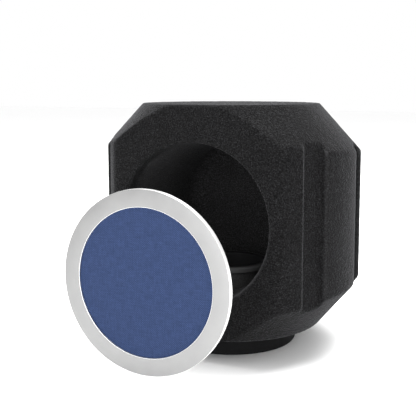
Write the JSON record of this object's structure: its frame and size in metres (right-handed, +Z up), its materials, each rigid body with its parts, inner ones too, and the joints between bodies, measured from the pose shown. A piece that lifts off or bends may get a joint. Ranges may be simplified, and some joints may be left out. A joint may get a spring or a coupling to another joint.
{
  "type": "microphone isolation shield",
  "caption": "Fluted foam shell with a round front opening and a microphone collar up through its base, plus a loose round pop filter that slides into the opening.",
  "frame": {"origin": "centre of the microphone collar's mouth, in the plane that the neck stands on", "axes": "+Z up along the neck; the round opening faces -Y; +X to the right seen from the front"},
  "size_m": [0.2144, 0.2877, 0.2],
  "materials": {
    "shell_foam": "matt open-cell foam",
    "neck_foam": "smooth closed-cell foam",
    "collar_rubber": "smooth satin rubber",
    "ring_metal": "fine satin",
    "front_cloth": "fine woven polyester",
    "spacer_plastic": "moulded",
    "rear_cloth": "nylon mesh"
  },
  "bodies": {
    "shield": {"foam_shell": "shell_foam", "neck_ring": "neck_foam", "mic_collar": "collar_rubber"},
    "pop_filter": {"filter_front_ring": "ring_metal", "filter_front_cloth": "front_cloth", "filter_spacer_ring": "spacer_plastic", "filter_rear_cloth": "rear_cloth", "filter_rear_ring": "ring_metal"}
  },
  "joints": [
    {"name": "filter_slide", "type": "slide", "parent": "shield", "child": "pop_filter", "axis": [-0.1559, 0.9688, 0.1928], "range_m": [0, 0.1058]}
  ]
}
